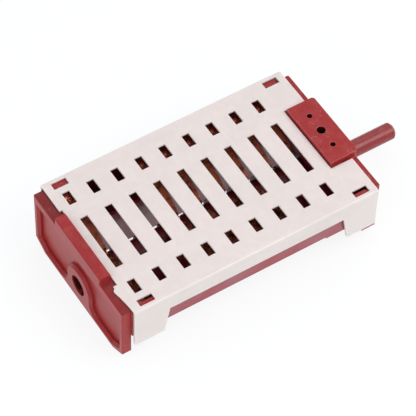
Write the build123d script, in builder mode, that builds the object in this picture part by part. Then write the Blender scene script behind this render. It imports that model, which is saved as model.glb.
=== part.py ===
"""Rotary cam selector switch of an oven, built piece by piece in millimetres.

The origin lies on the shaft's axis where it leaves the front face. +X runs along the shaft
towards the knob, +Z points up and the switch lies on the flat bottoms of its two end walls.
"""

import os
from math import cos, radians, sin

from build123d import *

os.makedirs("parts", exist_ok=True)

# ---------------------------------------------------------------- Columns of contacts
COLUMNS = 9  # contact columns along the switch
PITCH = 9.0  # from one column to the next
FRONT_SETBACK = 16.9  # front face to the middle of the front column
FAR_COLUMNS = [1, 4, 5, 6, 7, 8, 9]  # columns fitted on the +Y side, counted from the rear
NEAR_COLUMNS = [1, 4, 5, 6, 7]  # columns fitted on the -Y side

# ---------------------------------------------------------------- Heights from the shaft's axis
BASE_DEPTH = 7.9  # down to the surface the switch lies on
COVER_TOP = 18.0
TOWER_RISE = 2.0  # rear tower above the cover
BLOCK_RISE = 1.6  # mounting block above the cover
REAR_PLATE_DROP = 0.8  # rear plate's top below the cover's
FRONT_WALL_DROP = 1.4  # front wall's top below the cover's
DECK_HEIGHT = 9.9  # floor of the contact pockets
LEDGE_RISE = 3.1  # step in each pocket that carries the blade
OVERHANG_HEIGHT = 4.2  # underside of the housing's wide upper half
FOOT_DROP = 0.7  # short deeper length of that underside near the front
SKIRT_HEIGHT = 11.0  # lower edge of the cover between its legs
LEG_HEIGHT = 0.1  # lower ends of the cover's legs

# ---------------------------------------------------------------- Widths, from the middle plane
COVER_HALF = 29.15
SKIRT_WALL = 0.9
CLIP_GAP = 0.25  # air between the skirt and the housing
PLATE_AIR = 0.9  # air between the skirt and the rear end plate
FRONT_AIR = 1.35  # air between the skirt and the front end wall
RAIL_WALL = 2.1  # side walls of the contact pockets
TROUGH_HALF = 12.1  # open trough that the cams turn in
STEM_WALL = 1.9  # walls of that trough below the pockets
CORNER_WIDE = 6.5  # sloping bottom corners of the end walls
CORNER_TALL = 3.4

# ---------------------------------------------------------------- Housing
FRONT_WALL = 3.2
WALL_SETBACK = 0.5  # front end wall behind the faces of the block and the shaft's boss
SHAFT_BOSS_R = 6.8
FRONT_FOOT = 6.0  # depth of the front end wall near its sides
PARTITION = 1.0  # walls between columns
LEDGE_WIDE = 6.4  # ledge from the pocket's outer wall inwards
WELL_FLOOR = 6.0  # floor of a pocket that holds no contact
COVER_GAP = 0.2  # between the housing's top and the cover's underside
BAY_HALF = 7.6  # half width of the detent bay
BAY_TOP = 8.2
LEAF_POCKET_HALF = 9.5
LEAF_POCKET_TOP = 10.2
FOOT_LENGTH = 21.4  # how far back from the front face the deeper underside starts

# ---------------------------------------------------------------- Mounting block
BLOCK_DEPTH = 10.5
BLOCK_HALF = 13.0
BLOCK_CORNER_R = 1.2
FRONT_CORNER_R = 0.6
BLOCK_HOLE_SETBACK = 5.6
BLOCK_HOLE_R = 1.55
BLOCK_HOLE_DEPTH = 8.0
PILOT_HOLE_R = 0.95
PILOT_SPACING = 13.7
PILOT_DEPTH = 6.0

# ---------------------------------------------------------------- Rear end plate
PLATE_THICK = 3.3
TOWER_THICK = 4.0
TOWER_HALF = 13.85
PLATE_EDGE_R = 0.35
RECESS_DEPTH = 1.6
RECESS_SIDE_RIM = 2.4
RECESS_TOP_RIM = 3.2
RECESS_BASE_RIM = 2.0
RECESS_CORNER_WIDE = 4.6
RECESS_CORNER_TALL = 2.6
RECESS_CORNER_R = 1.6
BOSS_R = 7.6  # round boss about the rear bearing
BOSS_FOOT_R = 3.6  # sweep from the boss into the lower rim
MOUTH_BEVEL = 0.9  # at the mouth of the rear bearing
PEG_WIDE = 2.6  # tenons that seat the plate in the housing
PEG_TALL = 2.0
PEG_LENGTH = 2.4
PEG_IN = 4.95  # tenons from the plate's sides
PEG_UP = 7.6
PLATE_SPACE = 1.2  # between the rearmost column and the plate
FIT_GAP = 0.05  # slack round a peg or in a bearing

# ---------------------------------------------------------------- Cover
COVER_THICK = 0.8
COVER_REAR_GAP = 0.3  # cover's rear edge in front of the plate
COVER_FRONT_SETBACK = 2.7
COVER_EDGE_R = 0.6
SLOT_LENGTH = 22.3
SLOT_WIDTH = 2.8
TEST_HOLE_LENGTH = 5.35
TEST_HOLE_IN = 9.18  # middle of the small holes from the cover's side
WINDOW_LENGTH = 5.5
WINDOW_WIDTH = 2.7
WINDOW_IN = 2.75  # middle of a window from the cover's side
REAR_WINDOW_IN = 5.65  # middle of the rear windows from the cover's rear edge
FRONT_WINDOW_IN = 5.25
TOWER_NOTCH_AIR = 3.1  # air beside the tower
TOWER_NOTCH_DEPTH = 1.0
BLOCK_NOTCH_GAP = 0.9  # air between the block and the cover beside it
BLOCK_NOTCH_REAR_GAP = 0.4
REAR_LEG = 13.0  # leg's length along the switch where it meets the skirt
FRONT_LEG = 13.0
LEG_TAPER = 2.0  # how much narrower a leg is at its lower end
LEG_CORNER_R = 0.7
BARB_REACH = 0.85  # hook on a leg, under the housing's rail
BARB_TALL = 1.5
BARB_LENGTH = 4.0
LIP_REACH = 1.2  # uneven lip on the cover's rear edge
LIP_WIDE = 11.0
LIP_THICK = 0.7

# ---------------------------------------------------------------- Shaft
SHAFT_R = 3.0
SHAFT_LENGTH = 24.4  # beyond the front face
SHAFT_TIP_BEVEL = 0.8
FLAT_LENGTH = 10.0
FLAT_DEPTH = 1.4
JOURNAL_STEP = 0.4  # front journal thicker than the free end
CORE_ACROSS = 4.6  # square core that drives the cams
REAR_JOURNAL_R = 3.7
REAR_JOURNAL_BORE_R = 3.0
REAR_JOURNAL_SETBACK = 2.0
COLLAR_R = 5.0
COLLAR_AIR = 0.3  # between the drum's collar and the rear end plate
CAM_GAP = 0.1  # slack of the square bores on the core

# ---------------------------------------------------------------- Cams and detent
CREST_R = 6.7
HUB_R = 5.6
CAM_WIDE = 4.8
POSITIONS = 10  # stops in one turn
FACING_ANGLE = 32.0  # the stop that looks at the far wall at rest, from +Y towards +Z
FACING_CAMS = [3, 4, 9]  # cams with a hollow at that stop
HOLLOW_R = 3.4  # hollow cut in a cam's crest
HOLLOW_DEPTH = 1.1
STAR_R = 6.6
STAR_THICK = 5.2
STAR_HUB_R = 4.6
NOTCH_SIDE = 1.9  # square notch, cut cornerwise, between two teeth
STAR_AIR = 0.1  # between the detent wheel and the front wall
STAR_HUB_NOSE = 0.4

# ---------------------------------------------------------------- Contact blades and terminals
BLADE_THICK = 0.4
BLADE_WIDE = 5.8
ROOT_WIDE = 6.6
ROOT_GAP = 0.6  # between a blade's outer end and the housing's rail
ROOT_LONG = 6.6
BLADE_BEND = 1.1  # first bend from the trough's wall outwards
BLADE_KNEE_OUT = 6.2
BLADE_KNEE_DROP = 1.2
SHOULDER_OUT = 2.4  # where a blade turns down to its cam
SHOULDER_DROP = 3.5
FOLLOWER_GAP = 0.3  # between a blade's nose and a cam's crest
NOSE_ANGLE = 14.0  # from straight up to the place where a nose would meet the crest
TIP_RISE = 1.3
TIP_IN = 0.8
BAR_LONG = 2.6  # contact bars; a fixed and a moving one cross each other
BAR_WIDE = 1.2
BAR_TALL = 0.5
BAR_OUT = 2.7  # contact bars from the trough's wall outwards
ARM_WIDE = 4.4
ARM_GAP = 0.7  # between a terminal's arm and the trough
STRIP_THICK = 0.8  # terminals
TAB_WIDE = 6.3
TAB_STEP_GAP = 1.2  # between a tab and the ledge's step
TAB_TIP_DEPTH = 5.6
TAB_HOLE_R = 0.85
TAB_HOLE_UP = 3.2
TAB_BEVEL = 1.1
TAB_SLOT_GAP = 0.1
LEAF_WIDE = 4.6
LEAF_THICK = 0.4
LEAF_HALF = 9.2
LEAF_SHOULDER = 4.6
LEAF_NOSE_GAP = 0.3

# ---------------------------------------------------------------- Places worked out from those
BASE_Z = -BASE_DEPTH
COVER_UNDER = COVER_TOP - COVER_THICK
HOUSING_TOP = COVER_UNDER - COVER_GAP
LEDGE_HEIGHT = DECK_HEIGHT + LEDGE_RISE
HOUSING_HALF = COVER_HALF - SKIRT_WALL - CLIP_GAP
PLATE_HALF = COVER_HALF - SKIRT_WALL - PLATE_AIR
FRONT_HALF = COVER_HALF - SKIRT_WALL - FRONT_AIR
RAIL_INNER = HOUSING_HALF - RAIL_WALL
LEDGE_STEP = RAIL_INNER - LEDGE_WIDE
ROOT_OUT = RAIL_INNER - ROOT_GAP
TAB_OUT = LEDGE_STEP - TAB_STEP_GAP
BAR_Y = TROUGH_HALF + BAR_OUT
FRONT_COLUMN_X = -FRONT_SETBACK
REAR_COLUMN_X = FRONT_COLUMN_X - (COLUMNS - 1) * PITCH
TROUGH_FRONT_X = FRONT_COLUMN_X + PITCH / 2
CAMS_REAR_X = REAR_COLUMN_X - CAM_WIDE / 2
CAMS_FRONT_X = CAMS_REAR_X + COLUMNS * PITCH
PLATE_INNER_X = REAR_COLUMN_X - PITCH / 2 - PLATE_SPACE
COLLAR_REAR_X = PLATE_INNER_X + COLLAR_AIR
PLATE_OUTER_X = PLATE_INNER_X - PLATE_THICK
COVER_REAR_X = PLATE_INNER_X + COVER_REAR_GAP
COVER_FRONT_X = -COVER_FRONT_SETBACK
COVER_LENGTH = COVER_FRONT_X - COVER_REAR_X
PLATE_TOP = COVER_TOP - REAR_PLATE_DROP
REAR_WINDOW_X = COVER_REAR_X + REAR_WINDOW_IN
FRONT_WINDOW_X = COVER_FRONT_X - FRONT_WINDOW_IN
BAY_FRONT_X = -FRONT_WALL
STAR_FRONT_X = BAY_FRONT_X - STAR_AIR - STAR_HUB_NOSE
STAR_REAR_X = STAR_FRONT_X - STAR_THICK
JOURNAL_R = SHAFT_R + JOURNAL_STEP
BLADE_MID = LEDGE_HEIGHT + BLADE_THICK / 2
STRIP_TOP = DECK_HEIGHT + STRIP_THICK


def column_x(number):
    """Middle of a contact column, counted from 1 at the rear."""
    return REAR_COLUMN_X + (number - 1) * PITCH


def block(low, high, mode=Mode.ADD):
    """Add or cut an upright block between two opposite corners."""
    with BuildSketch(Plane.XY.offset(low[2])) as footprint:
        with Locations(((low[0] + high[0]) / 2, (low[1] + high[1]) / 2)):
            Rectangle(high[0] - low[0], high[1] - low[1])
    extrude(footprint.sketch, amount=high[2] - low[2], mode=mode)


def mirrored_blocks(low, high, mode=Mode.ADD):
    """The same block on the +Y side and on the -Y side."""
    block(low, high, mode)
    block((low[0], -high[1], low[2]), (high[0], -low[1], high[2]), mode)


def cut_pocket(number, near_y, far_y, floor):
    """Cut the pocket of a column between two distances from the middle plane."""
    half = (PITCH - PARTITION) / 2
    low = (column_x(number) - half, min(near_y, far_y), floor)
    high = (column_x(number) + half, max(near_y, far_y), HOUSING_TOP)
    block(low, high, Mode.SUBTRACT)


def end_wall_outline(half, base, top, corner_wide, corner_tall):
    """Outline of an end wall, or of the recess in one, with sloping bottom corners."""
    with BuildLine() as outline:
        Polyline(
            (-half, top),
            (-half, base + corner_tall),
            (corner_wide - half, base),
            (half - corner_wide, base),
            (half, base + corner_tall),
            (half, top),
            close=True,
        )
    make_face(outline.edges())


def finish(piece, label):
    """Name a finished piece and write it to its own file."""
    piece.part.label = label
    export_step(piece.part, f"parts/{label}.step")
    return piece.part


# ================================================================ Housing
def make_housing():
    """Moulded base: wide upper half with contact pockets, narrow stem, front end wall."""
    front_top = COVER_TOP - FRONT_WALL_DROP
    slot_half = (TAB_WIDE + TAB_SLOT_GAP * 2) / 2
    with BuildPart() as housing:
        # Wide upper half and the stem below it
        block(
            (PLATE_INNER_X, -HOUSING_HALF, OVERHANG_HEIGHT),
            (-FRONT_FOOT, HOUSING_HALF, HOUSING_TOP),
        )
        mirrored_blocks(
            (-FOOT_LENGTH, TROUGH_HALF, OVERHANG_HEIGHT - FOOT_DROP),
            (-FRONT_FOOT, HOUSING_HALF, OVERHANG_HEIGHT),
        )
        stem_half = TROUGH_HALF + STEM_WALL
        block((PLATE_INNER_X, -stem_half, BASE_Z), (-FRONT_FOOT, stem_half, OVERHANG_HEIGHT))
        # Front end wall with the raised mounting block
        with BuildSketch(Plane.YZ.offset(-FRONT_FOOT)):
            end_wall_outline(FRONT_HALF, BASE_Z, front_top, CORNER_WIDE, CORNER_TALL)
        extrude(amount=FRONT_FOOT - WALL_SETBACK)
        fillet(
            housing.edges().filter_by(Axis.Z).group_by(Axis.X)[-1],
            radius=FRONT_CORNER_R,
        )
        with BuildSketch(Plane.XY.offset(OVERHANG_HEIGHT)) as footprint:
            with Locations((-BLOCK_DEPTH / 2, 0)):
                Rectangle(BLOCK_DEPTH, 2 * BLOCK_HALF)
            fillet(footprint.vertices().group_by(Axis.X)[-1], radius=BLOCK_CORNER_R)
        extrude(amount=COVER_TOP + BLOCK_RISE - OVERHANG_HEIGHT)
        with BuildSketch(Plane.YZ.offset(-WALL_SETBACK)):
            Circle(SHAFT_BOSS_R)
        extrude(amount=WALL_SETBACK)
        # Trough for the cams, open above and below
        block(
            (PLATE_INNER_X, -TROUGH_HALF, BASE_Z),
            (TROUGH_FRONT_X, TROUGH_HALF, HOUSING_TOP),
            Mode.SUBTRACT,
        )
        # Bay for the detent wheel and the pocket of its leaf spring
        block((TROUGH_FRONT_X, -BAY_HALF, BASE_Z), (BAY_FRONT_X, BAY_HALF, BAY_TOP), Mode.SUBTRACT)
        block(
            (STAR_REAR_X, -LEAF_POCKET_HALF, BAY_TOP),
            (BAY_FRONT_X, LEAF_POCKET_HALF, LEAF_POCKET_TOP),
            Mode.SUBTRACT,
        )
        # Contact pockets: a fitted one has a ledge for its blade, any other is a plain well
        for side, columns in ((1, FAR_COLUMNS), (-1, NEAR_COLUMNS)):
            for number in range(1, COLUMNS + 1):
                if number in columns:
                    cut_pocket(number, side * TROUGH_HALF, side * LEDGE_STEP, DECK_HEIGHT)
                    cut_pocket(number, side * LEDGE_STEP, side * RAIL_INNER, LEDGE_HEIGHT)
                else:
                    cut_pocket(number, side * TROUGH_HALF, side * RAIL_INNER, WELL_FLOOR)
        # Core pockets beside the mounting block
        mirrored_blocks(
            (TROUGH_FRONT_X + PARTITION, BLOCK_HALF + PARTITION, DECK_HEIGHT),
            (-FRONT_WALL, RAIL_INNER, HOUSING_TOP),
            Mode.SUBTRACT,
        )
        # Slots for the tabs
        for side, columns in ((1, FAR_COLUMNS), (-1, NEAR_COLUMNS)):
            for number in columns:
                x = column_x(number)
                outer = TAB_OUT + TAB_SLOT_GAP
                inner = TAB_OUT - STRIP_THICK - TAB_SLOT_GAP
                low_y, high_y = sorted((side * inner, side * outer))
                block(
                    (x - slot_half, low_y, OVERHANG_HEIGHT - FOOT_DROP),
                    (x + slot_half, high_y, DECK_HEIGHT),
                    Mode.SUBTRACT,
                )
        # Front bearing
        with BuildSketch(Plane.YZ):
            Circle(JOURNAL_R + FIT_GAP)
        extrude(amount=-FRONT_WALL, mode=Mode.SUBTRACT)
        # Holes of the mounting block
        with BuildSketch(Plane.XY.offset(COVER_TOP + BLOCK_RISE)):
            with Locations((-BLOCK_HOLE_SETBACK, 0)):
                Circle(BLOCK_HOLE_R)
        extrude(amount=-BLOCK_HOLE_DEPTH, mode=Mode.SUBTRACT)
        with BuildSketch(Plane.XY.offset(COVER_TOP + BLOCK_RISE)):
            with Locations((-BLOCK_HOLE_SETBACK, 0)):
                with GridLocations(0, PILOT_SPACING, 1, 2):
                    Circle(PILOT_HOLE_R)
        extrude(amount=-PILOT_DEPTH, mode=Mode.SUBTRACT)
        # Mortises for the rear plate's tenons
        with BuildSketch(Plane.YZ.offset(PLATE_INNER_X)):
            with Locations((0, PEG_UP)):
                with GridLocations(2 * (PLATE_HALF - PEG_IN), 0, 2, 1):
                    Rectangle(PEG_WIDE + 2 * FIT_GAP, PEG_TALL + 2 * FIT_GAP)
        extrude(amount=PEG_LENGTH + FIT_GAP, mode=Mode.SUBTRACT)
    return finish(housing, "housing")


# ================================================================ Rear end plate
def make_rear_plate():
    """Rear end wall with its tower, recessed outer face, bearing boss and two tenons."""
    recess_half = PLATE_HALF - RECESS_SIDE_RIM
    recess_top = PLATE_TOP - RECESS_TOP_RIM
    recess_base = BASE_Z + RECESS_BASE_RIM
    with BuildPart() as plate:
        with BuildSketch(Plane.YZ.offset(PLATE_OUTER_X)):
            end_wall_outline(PLATE_HALF, BASE_Z, PLATE_TOP, CORNER_WIDE, CORNER_TALL)
        extrude(amount=PLATE_THICK)
        block(
            (PLATE_OUTER_X, -TOWER_HALF, PLATE_TOP),
            (PLATE_OUTER_X + TOWER_THICK, TOWER_HALF, COVER_TOP + TOWER_RISE),
        )
        outer_edges = plate.edges().group_by(Axis.X)[0]
        fillet(outer_edges.filter_by(Axis.Z) + outer_edges.filter_by(Axis.Y), radius=PLATE_EDGE_R)
        # Shallow recess that leaves a rim and a round boss about the bearing
        with BuildSketch(Plane.YZ.offset(PLATE_OUTER_X)) as recess:
            end_wall_outline(
                recess_half, recess_base, recess_top, RECESS_CORNER_WIDE, RECESS_CORNER_TALL
            )
            fillet(recess.vertices().group_by(Axis.Y)[0:2], radius=RECESS_CORNER_R)
            Circle(BOSS_R, mode=Mode.SUBTRACT)
            with Locations((0, BASE_Z / 2)):
                Rectangle(2 * BOSS_R, -BASE_Z, mode=Mode.SUBTRACT)
            feet = recess.vertices().group_by(Axis.Y)[0].sort_by(Axis.X)
            fillet(feet[1:3], radius=BOSS_FOOT_R)
        extrude(amount=RECESS_DEPTH, mode=Mode.SUBTRACT)
        with BuildSketch(Plane.YZ.offset(PLATE_OUTER_X)):
            Circle(REAR_JOURNAL_R + FIT_GAP)
        extrude(amount=PLATE_THICK, mode=Mode.SUBTRACT)
        mouth = plate.edges().filter_by(GeomType.CIRCLE).group_by(Axis.X)[0]
        chamfer(mouth.sort_by(Edge.length)[-1], length=MOUTH_BEVEL)
        with BuildSketch(Plane.YZ.offset(PLATE_INNER_X)):
            with Locations((0, PEG_UP)):
                with GridLocations(2 * (PLATE_HALF - PEG_IN), 0, 2, 1):
                    Rectangle(PEG_WIDE, PEG_TALL)
        extrude(amount=PEG_LENGTH)
    return finish(plate, "rear_end_plate")


# ================================================================ Cover
def leg_outline(inner_x, outer_x):
    """Outline of one leg seen from the side; its inner edge slopes, its outer one is upright."""
    taper = LEG_TAPER if inner_x < outer_x else -LEG_TAPER
    with BuildLine() as outline:
        Polyline(
            (outer_x, COVER_UNDER),
            (outer_x, LEG_HEIGHT),
            (inner_x + taper, LEG_HEIGHT),
            (inner_x, SKIRT_HEIGHT),
            (inner_x, COVER_UNDER),
            close=True,
        )
    make_face(outline.edges())


def make_cover():
    """White clip-on cover: thin top with rows of slots, two skirts and four hooked legs."""
    middle_x = (COVER_REAR_X + COVER_FRONT_X) / 2
    slots_x = (REAR_COLUMN_X + FRONT_COLUMN_X) / 2
    skirt_inner = COVER_HALF - SKIRT_WALL
    tower_notch = TOWER_HALF + TOWER_NOTCH_AIR
    block_notch_x = -(BLOCK_DEPTH + BLOCK_NOTCH_REAR_GAP)
    rear_leg_inner = COVER_REAR_X + REAR_LEG
    front_leg_inner = COVER_FRONT_X - FRONT_LEG
    with BuildPart() as cover:
        # Top plate and both skirts as one channel
        with BuildSketch(Plane.YZ.offset(COVER_REAR_X)):
            with BuildLine():
                Polyline(
                    (-COVER_HALF, SKIRT_HEIGHT),
                    (-COVER_HALF, COVER_TOP),
                    (COVER_HALF, COVER_TOP),
                    (COVER_HALF, SKIRT_HEIGHT),
                    (skirt_inner, SKIRT_HEIGHT),
                    (skirt_inner, COVER_UNDER),
                    (-skirt_inner, COVER_UNDER),
                    (-skirt_inner, SKIRT_HEIGHT),
                    close=True,
                )
            make_face()
        extrude(amount=COVER_LENGTH)
        # Four legs
        for plane_y in (skirt_inner, -COVER_HALF):
            with BuildSketch(Plane.XZ.offset(-plane_y)):
                leg_outline(rear_leg_inner, COVER_REAR_X)
                leg_outline(front_leg_inner, COVER_FRONT_X)
            extrude(amount=-SKIRT_WALL)
        fillet(
            cover.edges().filter_by(Axis.X).group_by(Axis.Z)[-1],
            radius=COVER_EDGE_R,
        )
        fillet(
            cover.edges().filter_by(Axis.Y).group_by(Axis.Z)[0],
            radius=LEG_CORNER_R,
        )
        # Notches for the tower and for the mounting block
        block(
            (COVER_REAR_X, -tower_notch, COVER_UNDER),
            (COVER_REAR_X + TOWER_NOTCH_DEPTH, tower_notch, COVER_TOP),
            Mode.SUBTRACT,
        )
        notch_half = BLOCK_HALF + BLOCK_NOTCH_GAP
        block(
            (block_notch_x, -notch_half, COVER_UNDER),
            (COVER_FRONT_X, notch_half, COVER_TOP),
            Mode.SUBTRACT,
        )
        # One long slot and two test holes over every column
        with BuildSketch(Plane.XY.offset(COVER_TOP)):
            with Locations((slots_x, 0)):
                with GridLocations(PITCH, 0, COLUMNS, 1):
                    Rectangle(SLOT_WIDTH, SLOT_LENGTH)
                with GridLocations(PITCH, 2 * (COVER_HALF - TEST_HOLE_IN), COLUMNS, 2):
                    Rectangle(SLOT_WIDTH, TEST_HOLE_LENGTH)
        extrude(amount=-COVER_THICK, mode=Mode.SUBTRACT)
        # Windows over the hooks
        with BuildSketch(Plane.XY.offset(COVER_TOP)):
            for window_x in (REAR_WINDOW_X, FRONT_WINDOW_X):
                with Locations((window_x, 0)):
                    with GridLocations(0, 2 * (COVER_HALF - WINDOW_IN), 1, 2):
                        Rectangle(WINDOW_LENGTH, WINDOW_WIDTH)
        extrude(amount=-COVER_THICK, mode=Mode.SUBTRACT)
        # Hooks that catch under the housing's rails
        hook_top = OVERHANG_HEIGHT - CLIP_GAP
        for window_x, drop in ((REAR_WINDOW_X, 0), (FRONT_WINDOW_X, FOOT_DROP)):
            hook_x = min(window_x - BARB_LENGTH / 2, -FRONT_FOOT - CLIP_GAP - BARB_LENGTH)
            for side in (1, -1):
                with BuildSketch(Plane.YZ.offset(hook_x)):
                    with BuildLine():
                        Polyline(
                            (side * skirt_inner, hook_top - drop),
                            (side * (skirt_inner - BARB_REACH), hook_top - drop),
                            (side * skirt_inner, hook_top - drop - BARB_TALL),
                            close=True,
                        )
                    make_face()
                extrude(amount=BARB_LENGTH)
        # Uneven lip beside the tower
        with BuildSketch(Plane.XY.offset(COVER_TOP)):
            with BuildLine():
                Polyline(
                    (COVER_REAR_X, -tower_notch),
                    (COVER_REAR_X - 0.4 * LIP_REACH, -tower_notch),
                    (COVER_REAR_X - 0.3 * LIP_REACH, -tower_notch - 0.07 * LIP_WIDE),
                    (COVER_REAR_X - 0.9 * LIP_REACH, -tower_notch - 0.12 * LIP_WIDE),
                    (COVER_REAR_X - LIP_REACH, -tower_notch - 0.2 * LIP_WIDE),
                    (COVER_REAR_X - 0.6 * LIP_REACH, -tower_notch - 0.42 * LIP_WIDE),
                    (COVER_REAR_X - 0.25 * LIP_REACH, -tower_notch - 0.7 * LIP_WIDE),
                    (COVER_REAR_X, -tower_notch - LIP_WIDE),
                    close=True,
                )
            make_face()
        extrude(amount=-LIP_THICK)
    return finish(cover, "cover")


# ================================================================ Shaft
def make_shaft():
    """Moulded shaft: square core, front journal and round free end with a flat."""
    core_front_x = BAY_FRONT_X - STAR_AIR
    core_rear_x = COLLAR_REAR_X + FIT_GAP
    with BuildPart() as shaft:
        with BuildSketch(Plane.YZ.offset(core_rear_x)):
            Rectangle(CORE_ACROSS, CORE_ACROSS)
        extrude(amount=core_front_x - core_rear_x)
        with BuildSketch(Plane.YZ.offset(core_front_x)):
            Circle(JOURNAL_R)
        extrude(amount=-core_front_x)
        with BuildSketch(Plane.YZ):
            Circle(SHAFT_R)
        extrude(amount=SHAFT_LENGTH)
        chamfer(shaft.edges().group_by(Axis.X)[-1], length=SHAFT_TIP_BEVEL)
        # Flat for the knob, on the underside of the free end
        block(
            (SHAFT_LENGTH - FLAT_LENGTH, -SHAFT_R, -SHAFT_R),
            (SHAFT_LENGTH, SHAFT_R, FLAT_DEPTH - SHAFT_R),
            Mode.SUBTRACT,
        )
    return finish(shaft, "shaft")


def cut_square_bore(rear_x, length):
    """Square bore that fits the shaft's core."""
    with BuildSketch(Plane.YZ.offset(rear_x)) as bore:
        Rectangle(CORE_ACROSS + 2 * CAM_GAP, CORE_ACROSS + 2 * CAM_GAP)
    extrude(bore.sketch, amount=length, mode=Mode.SUBTRACT)


def make_drum_cap():
    """Rear cap of the drum: collar with a square socket and a hollow journal."""
    journal_rear_x = PLATE_OUTER_X + REAR_JOURNAL_SETBACK
    with BuildPart() as cap:
        with BuildSketch(Plane.YZ.offset(journal_rear_x)):
            Circle(REAR_JOURNAL_R)
            Circle(REAR_JOURNAL_BORE_R, mode=Mode.SUBTRACT)
        extrude(amount=COLLAR_REAR_X - journal_rear_x)
        with BuildSketch(Plane.YZ.offset(COLLAR_REAR_X)):
            Circle(COLLAR_R)
        extrude(amount=CAMS_REAR_X - COLLAR_REAR_X)
        cut_square_bore(COLLAR_REAR_X, CAMS_REAR_X - COLLAR_REAR_X)
    return finish(cap, "drum_cap")


# ================================================================ Cams and detent wheel
def make_cam(number):
    """One cam: a crest with its own hollows and a hub that reaches to the next cam."""
    x = column_x(number)
    hollows = 1 + number % 3
    turn = 0 if number in FACING_CAMS else 2 + number % 2
    with BuildPart() as cam:
        with BuildSketch(Plane.YZ.offset(x - CAM_WIDE / 2)):
            Circle(CREST_R)
            with PolarLocations(
                CREST_R - HOLLOW_DEPTH + HOLLOW_R, hollows, FACING_ANGLE + turn * 360 / POSITIONS
            ):
                Circle(HOLLOW_R, mode=Mode.SUBTRACT)
        extrude(amount=CAM_WIDE)
        with BuildSketch(Plane.YZ.offset(x + CAM_WIDE / 2)):
            Circle(HUB_R)
        extrude(amount=PITCH - CAM_WIDE)
        cut_square_bore(x - CAM_WIDE / 2, PITCH)
    return finish(cam, f"cam_{number}")


def make_detent_wheel():
    """Star wheel with one notch for every stop, on a hub between the cams and the wall."""
    with BuildPart() as wheel:
        with BuildSketch(Plane.YZ.offset(CAMS_FRONT_X)):
            Circle(STAR_HUB_R)
        extrude(amount=STAR_FRONT_X + STAR_HUB_NOSE - CAMS_FRONT_X)
        with BuildSketch(Plane.YZ.offset(STAR_REAR_X)):
            Circle(STAR_R)
            with PolarLocations(STAR_R, POSITIONS, 90):
                Rectangle(NOTCH_SIDE, NOTCH_SIDE, rotation=45, mode=Mode.SUBTRACT)
        extrude(amount=STAR_THICK)
        cut_square_bore(CAMS_FRONT_X, STAR_FRONT_X + STAR_HUB_NOSE - CAMS_FRONT_X)
    return finish(wheel, "detent_wheel")


def make_detent_leaf():
    """Bowed leaf spring over the star wheel: feet on the ledges, back under the block."""
    foot_z = BAY_TOP + LEAF_THICK / 2
    back_z = LEAF_POCKET_TOP - LEAF_THICK / 2
    nose_z = STAR_R + LEAF_NOSE_GAP + LEAF_THICK / 2
    with BuildPart() as leaf:
        middle = (STAR_FRONT_X + STAR_REAR_X) / 2
        with BuildSketch(Plane.YZ.offset(middle - LEAF_WIDE / 2)):
            with BuildLine():
                Polyline(
                    (-LEAF_HALF, foot_z),
                    (-LEAF_SHOULDER, back_z - LEAF_THICK / 4),
                    (0, nose_z),
                    (LEAF_SHOULDER, back_z - LEAF_THICK / 4),
                    (LEAF_HALF, foot_z),
                )
            trace(line_width=LEAF_THICK)
        extrude(amount=LEAF_WIDE)
    return finish(leaf, "detent_leaf")


# ================================================================ Contacts
def make_blade(number, side, name):
    """Moving contact: wide root on the ledge, springing strip and a nose that rides on the cam."""
    x = column_x(number)
    nose_r = CREST_R + FOLLOWER_GAP + BLADE_THICK / 2
    nose_y = nose_r * sin(radians(NOSE_ANGLE))
    nose_z = nose_r * cos(radians(NOSE_ANGLE))
    with BuildPart() as blade:
        with BuildSketch(Plane.YZ.offset(x - BLADE_WIDE / 2)):
            with BuildLine():
                Polyline(
                    (side * ROOT_OUT, BLADE_MID),
                    (side * (TROUGH_HALF + BLADE_BEND), BLADE_MID),
                    (side * BLADE_KNEE_OUT, BLADE_MID - BLADE_KNEE_DROP),
                    (side * SHOULDER_OUT, BLADE_MID - SHOULDER_DROP),
                    (side * nose_y, nose_z),
                    (side * (nose_y - TIP_IN), nose_z + TIP_RISE),
                )
            trace(line_width=BLADE_THICK)
        extrude(amount=BLADE_WIDE)
        low_y, high_y = sorted((side * (ROOT_OUT - ROOT_LONG), side * ROOT_OUT))
        block(
            (x - ROOT_WIDE / 2, low_y, LEDGE_HEIGHT),
            (x + ROOT_WIDE / 2, high_y, LEDGE_HEIGHT + BLADE_THICK),
        )
    return finish(blade, f"blade_{name}_{number}")


def make_terminal(number, side, name):
    """Fixed contact: arm on the pocket's floor and a push-on tab down through the floor."""
    x = column_x(number)
    with BuildPart() as terminal:
        low_y, high_y = sorted((side * (TROUGH_HALF + ARM_GAP), side * TAB_OUT))
        block((x - ARM_WIDE / 2, low_y, DECK_HEIGHT), (x + ARM_WIDE / 2, high_y, STRIP_TOP))
        low_y, high_y = sorted((side * (TAB_OUT - STRIP_THICK), side * TAB_OUT))
        block((x - TAB_WIDE / 2, low_y, -TAB_TIP_DEPTH), (x + TAB_WIDE / 2, high_y, STRIP_TOP))
        chamfer(
            terminal.edges().filter_by(Axis.Y).group_by(Axis.Z)[0],
            length=TAB_BEVEL,
        )
        with BuildSketch(Plane.XZ.offset(-side * TAB_OUT)):
            with Locations((x, TAB_HOLE_UP - TAB_TIP_DEPTH)):
                Circle(TAB_HOLE_R)
        extrude(amount=side * STRIP_THICK, mode=Mode.SUBTRACT)
    return finish(terminal, f"terminal_{name}_{number}")


def contact_places():
    """Column middle and side of every fitted contact."""
    far = [(column_x(number), 1) for number in FAR_COLUMNS]
    near = [(column_x(number), -1) for number in NEAR_COLUMNS]
    return far + near


def make_contact_bars(base_z, length_x, length_y, label):
    """One silver contact bar for every fitted contact, all at the same height."""
    with BuildPart() as bars:
        for x, side in contact_places():
            block(
                (x - length_x / 2, side * BAR_Y - length_y / 2, base_z),
                (x + length_x / 2, side * BAR_Y + length_y / 2, base_z + BAR_TALL),
            )
    return finish(bars, label)


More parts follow.
